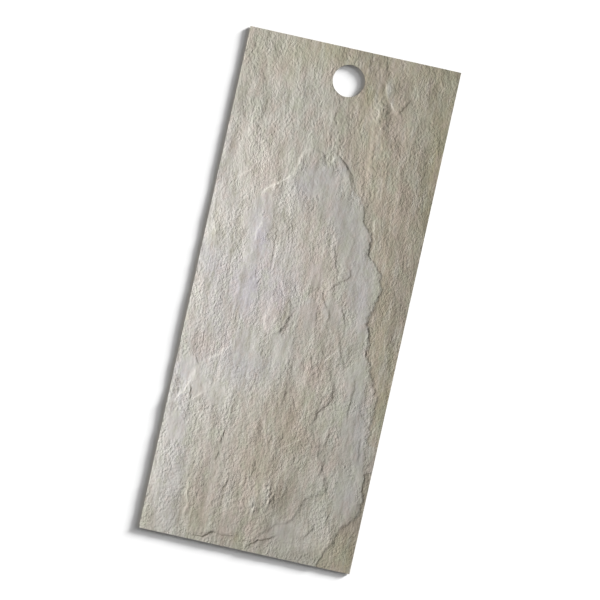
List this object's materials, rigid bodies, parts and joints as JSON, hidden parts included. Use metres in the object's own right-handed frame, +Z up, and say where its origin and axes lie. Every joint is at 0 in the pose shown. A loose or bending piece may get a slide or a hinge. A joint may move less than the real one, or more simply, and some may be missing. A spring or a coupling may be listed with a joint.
{
  "type": "flexible stone veneer sheet",
  "caption": "Thin rectangular sheet of flexible split-face stone veneer with stepped cleft ledges, a flat back for bonding and a round hanging hole near one end.",
  "frame": {"origin": "middle of the flat back, with the sheet lying on its back and the riven face up", "axes": "+X across the sheet, +Y along the sheet towards the hanging hole, +Z up out of the riven face"},
  "size_m": [0.1, 0.238, 0.002],
  "materials": {
    "riven_stone": "natural riven, matte"
  },
  "bodies": {
    "root": {"stone_veneer_sheet": "riven_stone"}
  },
  "joints": []
}
